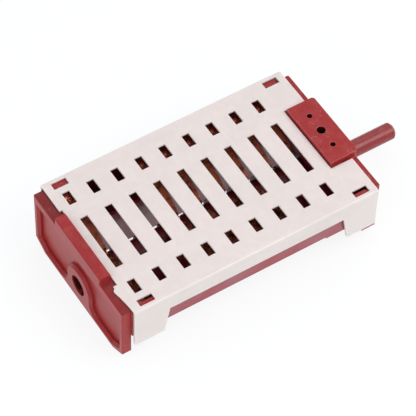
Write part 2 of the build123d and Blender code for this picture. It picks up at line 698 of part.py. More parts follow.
# ================================================================ Build every piece
make_housing()
make_rear_plate()
make_cover()
make_shaft()
make_drum_cap()
for column in range(1, COLUMNS + 1):
    make_cam(column)
make_detent_wheel()
make_detent_leaf()
for column in FAR_COLUMNS:
    make_blade(column, 1, "far")
    make_terminal(column, 1, "far")
for column in NEAR_COLUMNS:
    make_blade(column, -1, "near")
    make_terminal(column, -1, "near")
make_contact_bars(STRIP_TOP, BAR_LONG, BAR_WIDE, "fixed_contacts")
make_contact_bars(LEDGE_HEIGHT - BAR_TALL, BAR_WIDE, BAR_LONG, "moving_contacts")
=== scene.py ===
"""Dresses an oven's rotary selector switch: softened mouldings, copper contacts and a studio."""

import logging
import math
from dataclasses import dataclass
from enum import Enum
from typing import Iterable, Sequence

import bmesh
import bpy
from mathutils import Matrix, Vector
from mathutils.bvhtree import BVHTree


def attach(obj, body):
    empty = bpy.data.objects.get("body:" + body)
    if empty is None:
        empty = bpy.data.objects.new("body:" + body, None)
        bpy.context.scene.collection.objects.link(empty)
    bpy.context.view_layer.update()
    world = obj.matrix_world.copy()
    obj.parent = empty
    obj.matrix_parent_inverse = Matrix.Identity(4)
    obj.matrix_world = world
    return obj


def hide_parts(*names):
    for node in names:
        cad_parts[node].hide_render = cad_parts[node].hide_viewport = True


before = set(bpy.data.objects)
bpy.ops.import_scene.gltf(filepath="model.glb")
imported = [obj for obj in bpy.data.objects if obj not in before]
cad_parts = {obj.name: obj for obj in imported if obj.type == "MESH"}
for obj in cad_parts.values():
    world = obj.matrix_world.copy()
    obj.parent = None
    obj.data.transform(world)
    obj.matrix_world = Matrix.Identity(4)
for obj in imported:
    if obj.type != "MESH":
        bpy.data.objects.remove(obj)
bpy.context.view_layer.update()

LOG = logging.getLogger("selector_switch")
MM = 0.001
TOUCHING = 1e-7  # corners this near each other, in metres, are one
LEVEL = 1e-6  # an edge that gains less than this, in metres, runs straight across
CLEAR_ABOVE = 1.0  # a height well over the switch, in metres
CREST_HALF = 2.4  # from a cam's rear face to its middle, in millimetres
ROUNDED = 1  # material index of a soft copy's rounded faces; its flat ones have 0

Colour = tuple[float, float, float]
Point = tuple[float, float, float]


class Body(Enum):
    """The two rigid bodies of the switch."""

    FIXED = "switch_body"
    DRUM = "cam_drum"


class Side(Enum):
    """The two rows of contacts, as the sign of their Y."""

    FAR = 1
    NEAR = -1


class Slot(Enum):
    """Material slots of the record."""

    RED = "red_moulding"
    WHITE = "white_moulding"
    SHAFT = "shaft_moulding"
    CAM = "cam_moulding"
    COPPER = "copper_strip"
    SPRING = "spring_steel"
    TERMINAL = "terminal_brass"
    SILVER = "contact_silver"


def srgb(red: float, green: float, blue: float) -> Colour:
    """Turns a screen colour into the linear colour that a shader takes.

    Args:
        red: Red, 0 to 255.
        green: Green, 0 to 255.
        blue: Blue, 0 to 255.

    Returns:
        The colour as three linear numbers from 0 to 1.
    """
    parts = []
    for value in (red, green, blue):
        share = value / 255
        parts.append(share / 12.92 if share <= 0.04045 else ((share + 0.055) / 1.055) ** 2.4)
    return tuple(parts)


# ---------------------------------------------------------------- Node trees
class Graph:
    """A node tree that is filled through one method."""

    def __init__(self, tree: bpy.types.NodeTree) -> None:
        """Starts with the tree emptied.

        Args:
            tree: The tree of a material, a world or a geometry modifier.
        """
        self.tree = tree
        self.tree.nodes.clear()

    def node(self, kind: str, settings: dict | None = None, **sockets: object) -> bpy.types.Node:
        """Adds one node.

        Args:
            kind: The node's type.
            settings: Properties to set before the sockets.
            **sockets: Values or links, named by socket with spaces as underscores.

        Returns:
            The new node.
        """
        made = self.tree.nodes.new(kind)
        for key, value in (settings or {}).items():
            setattr(made, key, value)
        for key, value in sockets.items():
            self.put(self._find(made.inputs, key), value)
        return made

    @staticmethod
    def _find(sockets: Iterable, key: str) -> bpy.types.NodeSocket:
        """Finds a socket by identifier or name, or by number after a leading "i".

        Args:
            sockets: The inputs or outputs of a node.
            key: What to look for, with underscores for spaces.

        Returns:
            The first socket that fits.
        """
        if key[0] == "i" and key[1:].isdigit():
            return list(sockets)[int(key[1:])]
        wanted = key.replace("_", " ")
        for socket in sockets:
            if socket.identifier == key or socket.name == wanted:
                return socket
        raise KeyError(key)

    def put(self, socket: bpy.types.NodeSocket, value: object) -> None:
        """Links a value into a socket, or writes it there.

        Args:
            socket: The input socket.
            value: A Value, an output socket, a number, a tuple, a name or a material.
        """
        if isinstance(value, Value):
            self.tree.links.new(value.socket, socket)
        elif isinstance(value, bpy.types.NodeSocket):
            self.tree.links.new(value, socket)
        elif isinstance(value, tuple) and socket.type == "RGBA":
            socket.default_value = (*value[:3], 1.0)
        else:
            socket.default_value = value

    def value(self, socket: bpy.types.NodeSocket) -> "Value":
        """Wraps an output socket for arithmetic."""
        return Value(self, socket)

    def coordinates(self) -> bpy.types.NodeSocket:
        """Object coordinates, in metres from the shaft's mouth."""
        return self.node("ShaderNodeTexCoord").outputs["Object"]

    def noise(self, scale: float, detail: float, stretch: Point = (1, 1, 1)) -> "Value":
        """Three-dimensional noise on object coordinates.

        Args:
            scale: Cells per metre.
            detail: Octaves.
            stretch: Extra scale along X, Y and Z.

        Returns:
            The noise, about 0 to 1.
        """
        placed = self.node("ShaderNodeMapping", Vector=self.coordinates(), Scale=stretch)
        made = self.node(
            "ShaderNodeTexNoise",
            {"noise_dimensions": "3D"},
            Vector=placed.outputs["Vector"],
            Scale=scale,
            Detail=detail,
            Roughness=0.55,
        )
        return self.value(made.outputs["Fac"])

    def mix(self, share: object, first: object, second: object) -> "Value":
        """Mixes two colours.

        Args:
            share: How much of the second colour.
            first: The first colour.
            second: The second colour.

        Returns:
            The mixed colour.
        """
        made = self.node(
            "ShaderNodeMix",
            {"data_type": "RGBA", "clamp_factor": True},
            Factor_Float=share,
            A_Color=first,
            B_Color=second,
        )
        return self.value(self._find(made.outputs, "Result_Color"))

    def facing_up(self, least: float) -> "Value":
        """How far the surface faces upwards.

        Args:
            least: Upward part of the normal at which it starts to count.

        Returns:
            0 up to that slope, rising to 1 on a level surface.
        """
        normal = self.node("ShaderNodeNewGeometry").outputs["Normal"]
        parts = self.node("ShaderNodeSeparateXYZ", Vector=normal)
        return self.value(parts.outputs["Z"]).clamped().above(least, 1.0)

    def place(self, axis: str) -> "Value":
        """One object coordinate, in metres.

        Args:
            axis: X, Y or Z.

        Returns:
            The coordinate.
        """
        parts = self.node("ShaderNodeSeparateXYZ", Vector=self.coordinates())
        return self.value(parts.outputs[axis])

    def attribute(self, name: str) -> "Value":
        """A number that the mesh carries under a name, or 0 where it carries none."""
        made = self.node("ShaderNodeAttribute", {"attribute_name": name})
        return self.value(made.outputs["Fac"])

    def bump(self, height: "Value", depth: float) -> bpy.types.NodeSocket:
        """Bumps the normal by a height of at most `depth` metres."""
        made = self.node("ShaderNodeBump", Height=height, Distance=depth, Strength=1.0)
        return made.outputs["Normal"]

    def surface(self, **sockets: object) -> None:
        """Ends a material in one principled shader.

        Args:
            **sockets: Values or links of the shader's sockets.
        """
        shader = self.node("ShaderNodeBsdfPrincipled", **sockets)
        self.node("ShaderNodeOutputMaterial", Surface=shader.outputs["BSDF"])


def graph_of(owner: bpy.types.Material | bpy.types.World) -> Graph:
    """Gives a new material or world an empty node tree."""
    owner.use_nodes = True
    return Graph(owner.node_tree)


@dataclass(frozen=True)
class Value:
    """A shader number that takes part in Python expressions."""

    graph: Graph
    socket: bpy.types.NodeSocket

    def _maths(self, operation: str, first: object, second: object, clamp: bool = False) -> "Value":
        """Adds one Math node.

        Args:
            operation: What the node does.
            first: Its first number.
            second: Its second number.
            clamp: Whether the result is held between 0 and 1.

        Returns:
            The node's result.
        """
        settings = {"operation": operation, "use_clamp": clamp}
        made = self.graph.node("ShaderNodeMath", settings, i0=first, i1=second)
        return Value(self.graph, made.outputs[0])

    def __add__(self, other: object) -> "Value":
        """self + other."""
        return self._maths("ADD", self, other)

    def __radd__(self, other: object) -> "Value":
        """other + self."""
        return self._maths("ADD", other, self)

    def __sub__(self, other: object) -> "Value":
        """self - other."""
        return self._maths("SUBTRACT", self, other)

    def __rsub__(self, other: object) -> "Value":
        """other - self."""
        return self._maths("SUBTRACT", other, self)

    def __mul__(self, other: object) -> "Value":
        """self * other."""
        return self._maths("MULTIPLY", self, other)

    def __rmul__(self, other: object) -> "Value":
        """other * self."""
        return self._maths("MULTIPLY", other, self)

    def size(self) -> "Value":
        """The number without its sign."""
        return self._maths("ABSOLUTE", self, 0.0)

    def clamped(self) -> "Value":
        """The number held between 0 and 1."""
        return self._maths("ADD", self, 0.0, clamp=True)

    def above(self, low: float, high: float) -> "Value":
        """Rises from 0 at `low` to 1 at `high`."""
        return ((self - low) * (1.0 / (high - low))).clamped()


# ---------------------------------------------------------------- Patterns
@dataclass(frozen=True)
class Pattern:
    """A noise over the surface, and the band of levels in which it takes hold."""

    scale: float
    detail: float
    low: float = 0.0
    high: float = 1.0
    stretch: Point = (1, 1, 1)

    def noise(self, g: Graph) -> Value:
        """The bare noise, about 0 to 1."""
        return g.noise(self.scale, self.detail, self.stretch)

    def hold(self, noise: Value) -> Value:
        """How far a noise of this pattern takes hold, 0 to 1."""
        return noise.above(self.low, self.high)

    def on(self, g: Graph) -> Value:
        """How far the pattern takes hold, 0 to 1."""
        return self.hold(self.noise(g))


@dataclass(frozen=True)
class Dots:
    """Round dots, one to a cell, scattered over the surface in loose groups.

    The radius and the core, where a dot is at its fullest, are shares of a cell and of the
    radius. A group lies where a wider noise is above the level `scarce`.
    """

    scale: float
    radius: float
    scarce: float
    core: float = 0.3
    group_scale: float = 0.2
    group_edge: float = 0.1

    def on(self, g: Graph) -> Value:
        """Draws the dots.

        Args:
            g: The material's graph.

        Returns:
            1 in the middle of a dot and 0 between the dots.
        """
        spots = g.node(
            "ShaderNodeTexVoronoi",
            {"voronoi_dimensions": "3D", "feature": "F1"},
            Vector=g.coordinates(),
            Scale=self.scale,
        )
        near = 1.0 - g.value(spots.outputs["Distance"]).above(self.radius * self.core, self.radius)
        group = g.noise(self.scale * self.group_scale, 1.0)
        return near * group.above(self.scarce, self.scarce + self.group_edge)


CLOUDS = Pattern(60.0, 3.0, 0.35, 0.72)
FLOW = Pattern(150.0, 2.0, 0.42, 0.8, stretch=(0.25, 1.0, 1.0))
GRAIN = Pattern(2600.0, 2.0)
SPECKS = Pattern(1100.0, 1.0, 0.72, 0.80)
DUST = Pattern(320.0, 5.0, 0.45, 0.75)
SCUFFS = Pattern(700.0, 3.0, 0.66, 0.74, stretch=(1.0, 0.16, 1.0))
WORN_AND_HIGHLIT_EDGES = Pattern(420.0, 3.0, 0.2, 0.6)
FILM = Pattern(130.0, 2.0, 0.4, 0.62)
STAINS = Pattern(380.0, 4.0, 0.44, 0.64)
ROLLING = Pattern(900.0, 2.0, stretch=(6.0, 1.0, 1.0))
PITS = Dots(420.0, 0.16, 0.52)
NICKS = Dots(800.0, 0.24, 0.54)


@dataclass(frozen=True)
class PolishedSheenZone:
    """Low walls, at a distance from the middle plane, that came shiny out of the mould; there the
    colour also turns mauve as a painted sheen.
    """

    inner: float
    outer: float
    below: float
    rear: float = -94.3
    front: float = -12.6
    edge: float = 0.3
    bare_share: float = 0.5
    film_share: float = 0.4

    def share(self, g: Graph) -> Value:
        """How far a spot lies in the zone, thinned by a film of dust.

        Args:
            g: The material's graph.

        Returns:
            Up to 0.9 inside the zone and 0 outside.
        """
        aside = g.place("Y").size()
        between = aside.above((self.inner - self.edge) * MM, self.inner * MM)
        outside = aside.above(self.outer * MM, (self.outer + self.edge) * MM)
        over = g.place("Z").above(self.below * MM, (self.below + self.edge) * MM)
        forward = g.place("X").above((self.rear - self.edge) * MM, self.rear * MM)
        ahead = g.place("X").above(self.front * MM, (self.front + self.edge) * MM)
        film = self.bare_share + FILM.on(g) * self.film_share
        return between * (1.0 - outside) * (1.0 - over) * forward * (1.0 - ahead) * film


@dataclass(frozen=True)
class PaintedShadePocket:
    """A box, in millimetres, inside which the colour is darkened as painted shade."""

    low: Point
    high: Point
    edge: float = 0.3
    darkening: float = 0.9

    def share(self, g: Graph) -> Value:
        """How much painted shade a spot takes.

        Args:
            g: The material's graph.

        Returns:
            The full share of painted shade inside the box and 0 outside.
        """
        inside: Value | float = self.darkening
        for axis, low, high in zip("XYZ", self.low, self.high):
            place = g.place(axis)
            over = place.above(low * MM, (low + self.edge) * MM)
            inside = inside * over * (1.0 - place.above((high - self.edge) * MM, high * MM))
        return inside


# ---------------------------------------------------------------- Finishes
# Pale red of rubbed spots and dust, also painted on edges as a highlight.
RED_RUBBED_AND_HIGHLIT = srgb(206, 134, 130)
# Dark red painted into holes, the bore and under the cover's edge as shade.
PAINTED_SHADE = srgb(46, 14, 14)
# Mauve red painted on the shiny walls as a sheen of the pale floor they reflect.
PAINTED_SHEEN_RED = srgb(147, 47, 68)


@dataclass(frozen=True)
class MouldedFinish:
    """Injection-moulded plastic: soft clouding, fine grain, scuffs, dust and pale edges, partly
    wear and partly a painted highlight.

    A share is how much of a mark shows, and a slope is the upward part of the normal above
    which it does. Depths are in millimetres, heights are multiples of the grain.
    """

    slot: Slot
    colour: Colour
    shade: Colour
    rubbed_and_highlit: Colour
    painted_top_tint: Colour | None = None
    painted_top_slope: float = 0.5
    roughness: float = 0.34
    shine: float = 0.36
    coat_roughness: float = 0.12
    milky: float = 0.0
    milky_depth: float = 1.2
    milky_spread: Colour = (1.0, 0.95, 0.9)
    cloud_share: float = 0.5
    cloud_rough: float = 0.1
    flow_share: float = 0.3
    flow_height: float = 0.8
    dust_share: float = 0.12
    dust_slope: float = 0.6
    dust_rough: float = 0.08
    scuff_share: float = 0.3
    scuff_slope: float = 0.8
    scuff_rough: float = 0.15
    edge_share: float = 0.45
    speck_share: float = 0.3
    pit_share: float = 0.35
    pit_height: float = 1.5
    grain: float = 0.05
    polished_sheen_zones: tuple[PolishedSheenZone, ...] = ()
    shaded_pockets: tuple[PaintedShadePocket, ...] = ()

    def _clean(self, g: Graph, clouds: Value, flow: Value) -> Value:
        """The clouded colour of clean plastic, with a painted light tint on faces that look up.

        Args:
            g: The material's graph.
            clouds: Noise of the soft clouds.
            flow: Noise of the streaks that the flowing plastic left.

        Returns:
            The colour.
        """
        cloudy = CLOUDS.hold(clouds) * self.cloud_share + FLOW.hold(flow) * self.flow_share
        tone = g.mix(cloudy, self.colour, self.shade)
        # Painted light: faces that look up take a pinker tint than the sides.
        if self.painted_top_tint:
            painted_top_tone = g.mix(cloudy, self.painted_top_tint, self.shade)
            tone = g.mix(g.facing_up(self.painted_top_slope), tone, painted_top_tone)
        return tone

    def make(self) -> bpy.types.Material:
        """Builds the material.

        Returns:
            The material, named after its slot.
        """
        material = bpy.data.materials.new(self.slot.value)
        g = graph_of(material)
        clouds, flow = CLOUDS.noise(g), FLOW.noise(g)
        dust = g.facing_up(self.dust_slope) * DUST.on(g)
        scuffs = g.facing_up(self.scuff_slope) * SCUFFS.on(g)
        # Pale edges: partly wear, partly a painted edge highlight.
        worn_and_highlit = g.attribute("edge") * WORN_AND_HIGHLIT_EDGES.on(g) * self.edge_share
        pits = PITS.on(g)
        pale = dust * self.dust_share + scuffs * self.scuff_share + worn_and_highlit
        pale = (pale + NICKS.on(g) * self.scuff_share).clamped()
        marks = (SPECKS.on(g) * self.speck_share + pits * self.pit_share).clamped()
        colour = g.mix(marks, g.mix(pale, self._clean(g, clouds, flow), self.rubbed_and_highlit), self.shade)
        # Painted shade: the pockets are darkened towards a dark red.
        for pocket in self.shaded_pockets:
            colour = g.mix(pocket.share(g), colour, PAINTED_SHADE)
        rough = self.roughness + (clouds - 0.5) * self.cloud_rough
        rough = rough + dust * self.dust_rough + scuffs * self.scuff_rough
        extra = {}
        if self.polished_sheen_zones:
            polish_and_sheen = sum((zone.share(g) for zone in self.polished_sheen_zones), 0.0).clamped()
            # Painted sheen: the shiny walls turn mauve; the coat itself is real gloss.
            colour = g.mix(polish_and_sheen, colour, PAINTED_SHEEN_RED)
            extra["Coat_Weight"] = polish_and_sheen
            extra["Coat_Roughness"] = self.coat_roughness
        if self.milky:
            extra["Subsurface_Weight"] = self.milky
            extra["Subsurface_Scale"] = self.milky_depth * MM
            extra["Subsurface_Radius"] = self.milky_spread
        height = GRAIN.noise(g) + flow * self.flow_height - pits * self.pit_height
        g.surface(
            Base_Color=colour,
            Roughness=rough,
            Specular_IOR_Level=self.shine,
            Normal=g.bump(height, self.grain * MM),
            **extra,
        )
        return material


@dataclass(frozen=True)
class MetalFinish:
    """Rolled or stamped strip metal with rolling lines and tarnish, and painted light and shade.

    Beyond a Y on the far side the strip loses tarnish and is smoother; the lighter colour
    there is a painted brightness where light reaches the far roots. From `near_from` to
    `near_full` it is darkened towards the tarnish colour as painted shade of the near side.
    Lengths are in millimetres.
    """

    slot: Slot
    colour: Colour
    tarnish_and_shade: Colour
    roughness: float = 0.3
    tarnish_share: float = 0.6
    bare: float = 1.0
    stain_dulls: float = 0.15
    stain_rough: float = 0.22
    line_rough: float = 0.12
    line_depth: float = 0.02
    lit_root_beyond: float = 40.0
    lit_root_edge: float = 1.0
    lit_root_cleans: float = 0.8
    lit_root_smooths: float = 0.17
    near_painted_shade: float = 0.0
    near_from: float = -2.0
    near_full: float = -4.0

    def make(self) -> bpy.types.Material:
        """Builds the material.

        Returns:
            The material, named after its slot.
        """
        material = bpy.data.materials.new(self.slot.value)
        g = graph_of(material)
        across = g.place("Y")
        # Painted brightness: beyond a Y on the far side the copper loses tarnish where light
        # reaches the roots.
        lit_root = across.above(self.lit_root_beyond * MM, (self.lit_root_beyond + self.lit_root_edge) * MM)
        near = 1.0 - across.above(self.near_full * MM, self.near_from * MM)
        stain = STAINS.on(g) * (1.0 - lit_root * self.lit_root_cleans)
        rolled = ROLLING.noise(g)
        # Painted shade: the near side is darkened towards the tarnish colour.
        stain_and_shade = stain * self.tarnish_share + near * self.near_painted_shade
        rough = self.roughness + stain * self.stain_rough + (rolled - 0.5) * self.line_rough
        g.surface(
            Base_Color=g.mix(stain_and_shade.clamped(), self.colour, self.tarnish_and_shade),
            Metallic=self.bare - stain * self.stain_dulls,
            Roughness=rough - lit_root * self.lit_root_smooths,
            Normal=g.bump(rolled, self.line_depth * MM),
        )
        return material


# Shiny walls that also take the painted mauve sheen.
TROUGH_WALLS = PolishedSheenZone(inner=0.0, outer=12.3, below=10.2)
SIDE_WALLS = PolishedSheenZone(inner=26.9, outer=28.4, below=9.0)
# Painted shade in the screw holes, the rear bore and on the plate's shoulders under the cover.
SHADED_SCREW_HOLES = PaintedShadePocket((-7.6, -8.2, 11.2), (-3.6, 8.2, 19.4))
SHADED_REAR_BORE = PaintedShadePocket((-97.6, -3.9, -3.9), (-93.0, 3.9, 3.9))
SHADED_FAR_SHOULDER = PaintedShadePocket((-97.8, 13.9, 16.7), (-93.0, 29.6, 19.0), edge=0.25, darkening=0.45)
SHADED_NEAR_SHOULDER = PaintedShadePocket((-97.8, -29.6, 16.7), (-93.0, -13.9, 19.0), edge=0.25, darkening=0.35)
FINISHES = (
    MouldedFinish(
        Slot.RED,
        colour=srgb(160, 45, 47),
        shade=srgb(142, 36, 40),
        rubbed_and_highlit=RED_RUBBED_AND_HIGHLIT,
        shine=0.22,
        scuff_share=0.5,
        edge_share=0.8,
        polished_sheen_zones=(TROUGH_WALLS, SIDE_WALLS),
        shaded_pockets=(SHADED_SCREW_HOLES, SHADED_REAR_BORE, SHADED_FAR_SHOULDER, SHADED_NEAR_SHOULDER),
    ),
    MouldedFinish(
        Slot.WHITE,
        colour=srgb(228, 221, 218),
        shade=srgb(219, 211, 208),
        rubbed_and_highlit=srgb(238, 234, 231),
        # Pinker top painted as the light that falls on it from above.
        painted_top_tint=srgb(228, 216, 214),
        roughness=0.46,
        milky=0.5,
        dust_share=0.25,
        scuff_share=0.2,
    ),
    MouldedFinish(
        Slot.SHAFT,
        colour=srgb(152, 48, 50),
        shade=srgb(132, 38, 42),
        rubbed_and_highlit=RED_RUBBED_AND_HIGHLIT,
        roughness=0.28,
        shine=0.5,
        grain=0.02,
        shaded_pockets=(SHADED_REAR_BORE,),
    ),
    MouldedFinish(
        Slot.CAM,
        colour=srgb(118, 30, 36),
        shade=srgb(96, 22, 28),
        rubbed_and_highlit=srgb(160, 84, 82),
        roughness=0.36,
    ),
    MetalFinish(
        Slot.COPPER,
        colour=srgb(238, 148, 118),
        tarnish_and_shade=srgb(96, 38, 28),
        roughness=0.34,
        tarnish_share=0.8,
        bare=0.88,
        # Painted brightness of the far roots and painted shade of the near side.
        lit_root_beyond=19.5,
        near_painted_shade=0.35,
    ),
    MetalFinish(
        Slot.SPRING,
        colour=srgb(190, 190, 192),
        tarnish_and_shade=srgb(120, 116, 112),
        roughness=0.28,
        tarnish_share=0.4,
    ),
    MetalFinish(
        Slot.TERMINAL,
        colour=srgb(206, 156, 112),
        tarnish_and_shade=srgb(132, 88, 62),
        roughness=0.36,
    ),
    MetalFinish(
        Slot.SILVER,
        colour=srgb(222, 220, 216),
        tarnish_and_shade=srgb(150, 146, 140),
        roughness=0.24,
        tarnish_share=0.35,
    ),
)
MATERIALS = {finish.slot: finish.make() for finish in FINISHES}


# ---------------------------------------------------------------- Meshes
def give(obj: bpy.types.Object, slot: Slot, body: Body, nodes: Sequence[str] = ()) -> None:
    """Paints a piece, ties it to its body and hides the CAD nodes it stands for.

    Args:
        obj: The finished piece.
        slot: Its finish.
        body: The body that carries it.
        nodes: CAD nodes it replaces.
    """
    obj.data.materials.clear()
    obj.data.materials.append(MATERIALS[slot])
    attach(obj, body.value)
    if nodes:
        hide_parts(*nodes)
    LOG.info("%s: %d faces", obj.name, len(obj.data.polygons))


def linked(mesh: bpy.types.Mesh, name: str) -> bpy.types.Object:
    """Puts a mesh into the scene as an object of its own.

    Args:
        mesh: The mesh.
        name: Name of the object.

    Returns:
        The new object.
    """
    obj = bpy.data.objects.new(name, mesh)
    bpy.context.scene.collection.objects.link(obj)
    return obj


def settled(obj: bpy.types.Object) -> bpy.types.Object:
    """Turns an object with live modifiers into one plain mesh.

    Args:
        obj: The object; it is removed.

    Returns:
        A plain object of the same name.
    """
    bpy.context.view_layer.update()
    depsgraph = bpy.context.evaluated_depsgraph_get()
    mesh = bpy.data.meshes.new_from_object(obj.evaluated_get(depsgraph), depsgraph=depsgraph)
    name = obj.name
    bpy.data.objects.remove(obj)
    return linked(mesh, name)


@dataclass
class SoftCopy:
    """A CAD node's solid with its sharp edges rounded as a mould or a press leaves them.

    A sliced copy is first cut at each crosswise sharp edge, so that no flat face has a hole in
    it. Lengths are in millimetres, angles in degrees.
    """

    node: str
    radius: float
    segments: int = 2
    angle: float = 32.0
    flat_angle: float = 0.4
    flat_weight: int = 80
    sliced: bool = False
    slice_angle: float = 20.0
    slice_edge: float = 0.5
    slice_apart: float = 0.3

    def _slice_here(self, edge: bmesh.types.BMEdge) -> bool:
        """Whether an edge is long enough, crosswise and sharp.

        Args:
            edge: The edge.

        Returns:
            True where the mesh is to be cut.
        """
        start, end = (vert.co for vert in edge.verts)
        if abs(start.x - end.x) >= LEVEL or abs(start.y - end.y) <= self.slice_edge * MM:
            return False
        turn = math.radians(self.slice_angle)
        return len(edge.link_faces) == 2 and edge.calc_face_angle(0.0) > turn

    def _slice(self, work: bmesh.types.BMesh) -> None:
        """Cuts the mesh across at its sharp edges and marks the cuts as seams.

        Args:
            work: The mesh.
        """
        last = -math.inf
        for x in sorted(edge.verts[0].co.x for edge in work.edges if self._slice_here(edge)):
            if x - last < self.slice_apart * MM:
                continue
            last = x
            cut = bmesh.ops.bisect_plane(
                work,
                geom=[*work.verts, *work.edges, *work.faces],
                dist=TOUCHING,
                plane_co=(x, 0.0, 0.0),
                plane_no=(1.0, 0.0, 0.0),
            )
            for item in cut["geom_cut"]:
                if isinstance(item, bmesh.types.BMEdge):
                    item.seam = True

    def _clean_mesh(self) -> bpy.types.Mesh:
        """Copies the node's mesh with its flat faces whole again.

        Returns:
            The copy, smooth shaded.
        """
        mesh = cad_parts[self.node].data.copy()
        work = bmesh.new()
        work.from_mesh(mesh)
        bmesh.ops.remove_doubles(work, verts=work.verts, dist=TOUCHING)
        if self.sliced:
            self._slice(work)
        bmesh.ops.dissolve_limit(
            work,
            angle_limit=math.radians(self.flat_angle),
            verts=work.verts,
            edges=work.edges,
            delimit={"SEAM"},
        )
        for face in work.faces:
            face.smooth = True
        work.to_mesh(mesh)
        work.free()
        return mesh

    def make(self, name: str) -> bpy.types.Object:
        """Builds the rounded copy; its rounded faces carry the attribute "edge".

        Args:
            name: Name of the new piece.

        Returns:
            The piece, as one plain mesh.
        """
        obj = linked(self._clean_mesh(), name)
        obj.data.materials.clear()
        for _ in range(ROUNDED + 1):
            obj.data.materials.append(None)
        bevel = obj.modifiers.new("edges", "BEVEL")
        bevel.width = self.radius * MM
        bevel.segments = self.segments
        bevel.limit_method = "ANGLE"
        bevel.angle_limit = math.radians(self.angle)
        bevel.use_clamp_overlap = True
        bevel.miter_outer = "MITER_ARC"
        bevel.material = ROUNDED
        even = obj.modifiers.new("flat_faces", "WEIGHTED_NORMAL")
        even.weight = self.flat_weight
        made = settled(obj)
        rounded = [float(face.material_index == ROUNDED) for face in made.data.polygons]
        made.data.attributes.new("edge", "FLOAT", "FACE").data.foreach_set("value", rounded)
        made.data.polygons.foreach_set("material_index", [0] * len(rounded))
        return made


@dataclass(frozen=True)
class Seat:
    """A spot on a surface and the way it faces."""

    place: Vector
    facing: Vector


def seat_on(node: str, along: float, out: float) -> Seat:
    """Finds the top of a CAD node beside its middle.

    Args:
        node: Name of the CAD node.
        along: Distance from the node's middle towards the shaft's tip, in millimetres.
        out: Y of the spot, in millimetres.

    Returns:
        The uppermost spot there.
    """
    work = bmesh.new()
    work.from_mesh(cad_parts[node].data)
    tree = BVHTree.FromBMesh(work)
    spans = [vert.co.x for vert in work.verts]
    work.free()
    middle = (min(spans) + max(spans)) / 2
    over = Vector((middle + along * MM, out * MM, CLEAR_ABOVE))
    place, facing, _, _ = tree.ray_cast(over, Vector((0.0, 0.0, -1.0)))
    return Seat(place, facing)


@dataclass
class RivetTree:
    """A geometry tree that sets one round rivet head on every point of a mesh."""

    name: str
    radius: float
    tall: float
    crown: float
    material: bpy.types.Material
    sides: int = 32

    def sizes(self) -> dict[str, float]:
        """The tree's named inputs, in metres."""
        return {"Radius": self.radius * MM, "Height": self.tall * MM, "Crown": self.crown * MM}

    def _head(self, g: Graph, start: bpy.types.Node) -> bpy.types.NodeSocket:
        """Builds one head: a short cylinder with a domed top.

        Args:
            g: The tree's graph.
            start: The node that hands out the sizes.

        Returns:
            The head's geometry.
        """
        radius, tall, crown = (start.outputs[label] for label in self.sizes())
        rim = g.node("GeometryNodeMeshCylinder", Vertices=self.sides, Radius=radius, Depth=tall)
        dome = g.node(
            "GeometryNodeMeshUVSphere", Segments=self.sides, Rings=self.sides // 2, Radius=1.0
        )
        half = g.node("ShaderNodeMath", {"operation": "MULTIPLY"}, i0=tall, i1=0.5)
        capped = g.node(
            "GeometryNodeTransform",
            Geometry=dome.outputs["Mesh"],
            Scale=g.node("ShaderNodeCombineXYZ", X=radius, Y=radius, Z=crown).outputs[0],
            Translation=g.node("ShaderNodeCombineXYZ", Z=half.outputs[0]).outputs[0],
        )
        joined = g.node("GeometryNodeJoinGeometry", Geometry=rim.outputs["Mesh"])
        g.put(joined.inputs["Geometry"], capped.outputs["Geometry"])
        return joined.outputs["Geometry"]

    def build(self) -> bpy.types.NodeTree:
        """Builds the tree with named inputs for the sizes.

        Returns:
            The geometry node tree.
        """
        tree = bpy.data.node_groups.new(self.name, "GeometryNodeTree")
        face = tree.interface
        face.new_socket("Geometry", in_out="INPUT", socket_type="NodeSocketGeometry")
        for label in self.sizes():
            face.new_socket(label, in_out="INPUT", socket_type="NodeSocketFloat")
        face.new_socket("Geometry", in_out="OUTPUT", socket_type="NodeSocketGeometry")
        g = Graph(tree)
        start = g.node("NodeGroupInput")
        lean = g.node("GeometryNodeInputNamedAttribute", {"data_type": "FLOAT_VECTOR"}, Name="lean")
        stand = g.node(
            "FunctionNodeAlignRotationToVector", {"axis": "Z"}, Vector=lean.outputs["Attribute"]
        )
        spread = g.node(
            "GeometryNodeInstanceOnPoints",
            Points=start.outputs["Geometry"],
            Instance=self._head(g, start),
            Rotation=stand.outputs["Rotation"],
        )
        real = g.node("GeometryNodeRealizeInstances", Geometry=spread.outputs["Instances"])
        dress = g.node(
            "GeometryNodeSetMaterial", Geometry=real.outputs["Geometry"], Material=self.material
        )
        g.node("NodeGroupOutput", Geometry=dress.outputs["Geometry"])
        return tree

    def scatter(self, seats: Sequence[Seat]) -> bpy.types.Object:
        """Sets a rivet head on each seat.

        Args:
            seats: Where the heads sit.

        Returns:
            The piece, as one plain mesh under the tree's name.
        """
        mesh = bpy.data.meshes.new(self.name)
        mesh.from_pydata([tuple(seat.place) for seat in seats], [], [])
        leans = [part for seat in seats for part in seat.facing]
        mesh.attributes.new("lean", "FLOAT_VECTOR", "POINT").data.foreach_set("vector", leans)
        obj = linked(mesh, self.name)
        tree = self.build()
        modifier = obj.modifiers.new("rivets", "NODES")
        modifier.node_group = tree
        sizes = self.sizes()
        for item in tree.interface.items_tree:
            if item.item_type == "SOCKET" and item.in_out == "INPUT" and item.name in sizes:
                modifier[item.identifier] = sizes[item.name]
        made = settled(obj)
        made.data.polygons.foreach_set("use_smooth", [True] * len(made.data.polygons))
        return made


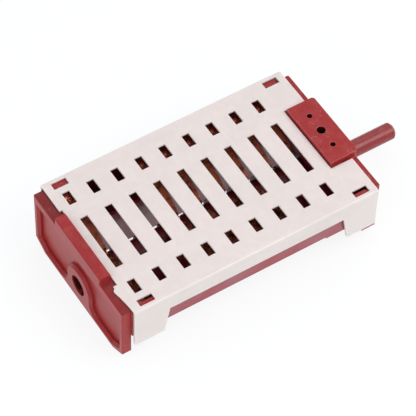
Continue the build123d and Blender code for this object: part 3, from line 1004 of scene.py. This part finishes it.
# ---------------------------------------------------------------- Sub-assemblies
@dataclass
class Mouldings:
    """The fixed plastic pieces: housing, rear end plate and cover."""

    housing_edge: float = 0.18
    plate_edge: float = 0.22
    cover_edge: float = 0.1

    def build(self) -> None:
        """Rounds and paints the three mouldings."""
        housing = SoftCopy("housing", self.housing_edge, sliced=True).make("housing_body")
        give(housing, Slot.RED, Body.FIXED, ["housing"])
        plate = SoftCopy("rear_end_plate", self.plate_edge).make("rear_plate_body")
        give(plate, Slot.RED, Body.FIXED, ["rear_end_plate"])
        cover = SoftCopy("cover", self.cover_edge, sliced=True).make("cover_shell")
        give(cover, Slot.WHITE, Body.FIXED, ["cover"])


@dataclass
class WellLinings:
    """Walls and floors inside the wells of the columns that hold no contact."""

    wide: float = 8.6
    trough: float = 12.1
    rail: float = 26.2
    deck: float = 9.9
    thick: float = 1.2
    sill: float = 5.6
    walled: tuple[int, ...] = (2, 3)
    floored: tuple[int, ...] = (2, 3, 8, 9)

    def _block(
        self,
        work: bmesh.types.BMesh,
        number: int,
        low: tuple[float, float],
        high: tuple[float, float],
    ) -> None:
        """Adds one block beside the middle of a column.

        Args:
            work: The mesh that takes the block.
            number: The column, counted from the rear.
            low: Lowest Y and Z, in millimetres.
            high: Highest Y and Z, in millimetres.
        """
        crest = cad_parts[f"cam_{number}"].data.vertices
        column = min(vert.co.x for vert in crest) / MM + CREST_HALF
        start = Vector((column - self.wide / 2, *low))
        end = Vector((column + self.wide / 2, *high))
        place = Matrix.LocRotScale((start + end) / 2 * MM, None, (end - start) * MM)
        bmesh.ops.create_cube(work, size=1.0, matrix=place)

    def build(self) -> None:
        """Walls the far wells towards the trough and floors the near ones at deck height."""
        work = bmesh.new()
        for number in self.walled:
            outside = self.trough + self.thick
            self._block(work, number, (self.trough, self.sill), (outside, self.deck))
        for number in self.floored:
            underside = self.deck - self.thick
            self._block(work, number, (-self.rail, underside), (-self.trough, self.deck))
        mesh = bpy.data.meshes.new("well_linings")
        work.to_mesh(mesh)
        work.free()
        give(linked(mesh, "well_linings"), Slot.RED, Body.FIXED)


@dataclass
class CamDrum:
    """Everything that turns: the shaft, its cams and the detent wheel."""

    shaft_edge: float = 0.12
    cam_edge: float = 0.14
    cams: int = 9

    def build(self) -> None:
        """Rounds and paints the turning pieces."""
        for node in ("shaft", "drum_cap"):
            piece = SoftCopy(node, self.shaft_edge).make(f"{node}_body")
            give(piece, Slot.SHAFT, Body.DRUM, [node])
        cams = [f"cam_{number}" for number in range(1, self.cams + 1)]
        for node in (*cams, "detent_wheel"):
            piece = SoftCopy(node, self.cam_edge).make(f"{node}_body")
            give(piece, Slot.CAM, Body.DRUM, [node])


@dataclass
class ContactRow:
    """One row of blades and terminals on one side of the drum."""

    side: Side
    columns: tuple[int, ...]
    strip_edge: float = 0.06

    def nodes(self, kind: str) -> list[str]:
        """The row's CAD nodes of one kind, which is blade or terminal."""
        return [f"{kind}_{self.side.name.lower()}_{number}" for number in self.columns]

    def build(self) -> None:
        """Rounds and paints the row's strips."""
        for blade, tab in zip(self.nodes("blade"), self.nodes("terminal")):
            strip = SoftCopy(blade, self.strip_edge, segments=1).make(f"{blade}_strip")
            give(strip, Slot.COPPER, Body.FIXED, [blade])
            push_on = SoftCopy(tab, self.strip_edge, segments=1).make(f"{tab}_tab")
            give(push_on, Slot.TERMINAL, Body.FIXED, [tab])


ROWS = (ContactRow(Side.FAR, (1, 4, 5, 6, 7, 8, 9)), ContactRow(Side.NEAR, (1, 4, 5, 6, 7)))


@dataclass
class Fastenings:
    """Rivets of the blades, contact bars and the detent's leaf spring."""

    root_out: float = 22.4
    root_along: float = 1.6
    root_radius: float = 1.05
    tip_out: float = 16.1
    tip_along: float = 1.4
    tip_radius: float = 0.55
    head_tall: float = 0.3
    head_crown: float = 0.22
    bar_edge: float = 0.1
    leaf_edge: float = 0.06

    def _rivets(self, name: str, radius: float, along: float, out: float) -> None:
        """Sets one rivet head on every blade, at the same distances on both sides.

        Args:
            name: Name of the piece.
            radius: Radius of a head.
            along: Distance from a blade's middle towards the shaft's tip.
            out: Distance from the middle plane.
        """
        seats = [
            seat_on(blade, along, row.side.value * out)
            for row in ROWS
            for blade in row.nodes("blade")
        ]
        tree = RivetTree(name, radius, self.head_tall, self.head_crown, MATERIALS[Slot.COPPER])
        give(tree.scatter(seats), Slot.COPPER, Body.FIXED)

    def build(self) -> None:
        """Makes the rivets and paints the contact bars and the leaf spring."""
        self._rivets("root_rivets", self.root_radius, self.root_along, self.root_out)
        self._rivets("contact_rivets", self.tip_radius, self.tip_along, self.tip_out)
        for node in ("fixed_contacts", "moving_contacts"):
            bars = SoftCopy(node, self.bar_edge).make(f"{node}_bars")
            give(bars, Slot.SILVER, Body.FIXED, [node])
        leaf = SoftCopy("detent_leaf", self.leaf_edge, segments=1).make("detent_leaf_strip")
        give(leaf, Slot.SPRING, Body.FIXED, ["detent_leaf"])


# ---------------------------------------------------------------- Studio
@dataclass(frozen=True)
class Lamp:
    """One square soft lamp that looks at the switch; lengths are in metres."""

    name: str
    at: Point
    size: float
    watts: float
    colour: Colour = (1.0, 1.0, 1.0)
    aim: Point = (-0.045, 0.0, 0.005)

    def hang(self) -> None:
        """Hangs the lamp and turns it to the switch."""
        light = bpy.data.lights.new(self.name, "AREA")
        light.shape = "SQUARE"
        light.size = self.size
        light.energy = self.watts
        light.color = self.colour
        obj = bpy.data.objects.new(self.name, light)
        bpy.context.scene.collection.objects.link(obj)
        obj.location = self.at
        obj.rotation_mode = "QUATERNION"
        obj.rotation_quaternion = (Vector(self.aim) - Vector(self.at)).to_track_quat("-Z", "Y")


LAMPS = (
    Lamp("key_lamp", (0.27, -0.47, 0.77), 0.62, 4.0, (1.0, 0.985, 0.975)),
    Lamp("back_lamp", (0.22, 0.4, 0.65), 0.5, 0.5),
    Lamp("side_lamp", (-0.75, -0.25, 0.35), 0.5, 1.3),
)


@dataclass
class Studio:
    """Floor, lamps, surroundings and camera.

    The camera's place and the height at which the switch rests are in millimetres, the floor
    and what the camera's sight is clipped to are in metres, and angles are in degrees.
    """

    rest_height: float = -7.9
    floor_half: float = 3.0
    floor_paint: float = 0.62
    floor_glow: float = 0.3
    seen_paint: float = 0.14
    seen_glow: float = 0.87
    sheet_colour: Colour = (0.98, 0.99, 1.0)
    air_colour: Colour = (0.975, 0.99, 1.0)
    air_light: float = 0.66
    camera_at: Point = (-311.94, -390.32, 640.65)
    azimuth: float = -33.976
    elevation: float = 53.383
    roll: float = 2.081
    focal_length: float = 210.9
    sensor: float = 36.0
    nearest: float = 0.01
    farthest: float = 50.0

    def _lit_paint(self, g: Graph, paint: float, glow: float) -> bpy.types.NodeSocket:
        """White paint over a sheet that glows a little, as on a light table.

        Args:
            g: The material's graph.
            paint: How much light the paint gives back.
            glow: Radiance of the sheet.

        Returns:
            The shader.
        """
        matt = g.node("ShaderNodeBsdfDiffuse", Color=(paint, paint, paint))
        sheet = g.node("ShaderNodeEmission", Color=self.sheet_colour, Strength=glow)
        return g.node("ShaderNodeAddShader", i0=matt.outputs[0], i1=sheet.outputs[0]).outputs[0]

    @staticmethod
    def _seen(g: Graph, other: str) -> bpy.types.NodeSocket:
        """Whether light goes straight to the camera, or by way of one other kind of ray.

        Args:
            g: The graph of a material or a world.
            other: The other kind, as the output of the light path node.

        Returns:
            1 where it does and 0 for all other light.
        """
        path = g.node("ShaderNodeLightPath").outputs
        rays = {"i0": path["Is Camera Ray"], "i1": path[other]}
        return g.node("ShaderNodeMath", {"operation": "MAXIMUM"}, **rays).outputs[0]

    def floor(self) -> None:
        """Lays a pale floor that reaches past the view."""
        material = bpy.data.materials.new("studio_floor")
        g = graph_of(material)
        seen = self._seen(g, "Is Glossy Ray")
        plain = self._lit_paint(g, self.floor_paint, self.floor_glow)
        bright = self._lit_paint(g, self.seen_paint, self.seen_glow)
        both = g.node("ShaderNodeMixShader", i0=seen, i1=plain, i2=bright)
        g.node("ShaderNodeOutputMaterial", Surface=both.outputs[0])
        size = self.floor_half
        z = self.rest_height * MM
        mesh = bpy.data.meshes.new("floor")
        corners = [(-size, -size, z), (size, -size, z), (size, size, z), (-size, size, z)]
        mesh.from_pydata(corners, [], [(0, 1, 2, 3)])
        mesh.materials.append(material)
        linked(mesh, "floor")

    def surroundings(self) -> None:
        """Fills the room with even white light."""
        world = bpy.data.worlds.new("studio")
        bpy.context.scene.world = world
        g = graph_of(world)
        seen = self._seen(g, "Is Transmission Ray")
        level = g.node("ShaderNodeMapRange", Value=seen, To_Min=self.air_light, To_Max=1.0)
        light = level.outputs["Result"]
        air = g.node("ShaderNodeBackground", Color=self.air_colour, Strength=light)
        g.node("ShaderNodeOutputWorld", Surface=air.outputs[0])

    def camera(self) -> None:
        """Sets the camera at its place and angle."""
        a, e, r = (math.radians(v) for v in (self.azimuth, self.elevation, self.roll))
        back = Vector((math.sin(a) * math.cos(e), -math.cos(a) * math.cos(e), math.sin(e)))
        right = Vector((math.cos(a), math.sin(a), 0.0))
        up = back.cross(right)
        across = right * math.cos(r) + up * math.sin(r)
        upward = up * math.cos(r) - right * math.sin(r)
        data = bpy.data.cameras.new("camera")
        data.sensor_width = self.sensor
        data.lens = self.focal_length
        data.clip_start = self.nearest
        data.clip_end = self.farthest
        obj = bpy.data.objects.new("camera", data)
        bpy.context.scene.collection.objects.link(obj)
        turn = Matrix((across, upward, back)).transposed()
        obj.matrix_world = Matrix.Translation(Vector(self.camera_at) * MM) @ turn.to_4x4()
        bpy.context.scene.camera = obj

    def build(self) -> None:
        """Sets up the whole studio."""
        bpy.context.scene.view_settings.view_transform = "Standard"
        self.floor()
        self.surroundings()
        for lamp in LAMPS:
            lamp.hang()
        self.camera()
        LOG.info("studio ready")


def main() -> None:
    """Builds the switch and its studio, piece by piece."""
    logging.basicConfig(level=logging.INFO, format="%(name)s: %(message)s")
    Studio().build()
    Mouldings().build()
    WellLinings().build()
    CamDrum().build()
    for row in ROWS:
        row.build()
    Fastenings().build()


if __name__ == "__main__":
    main()
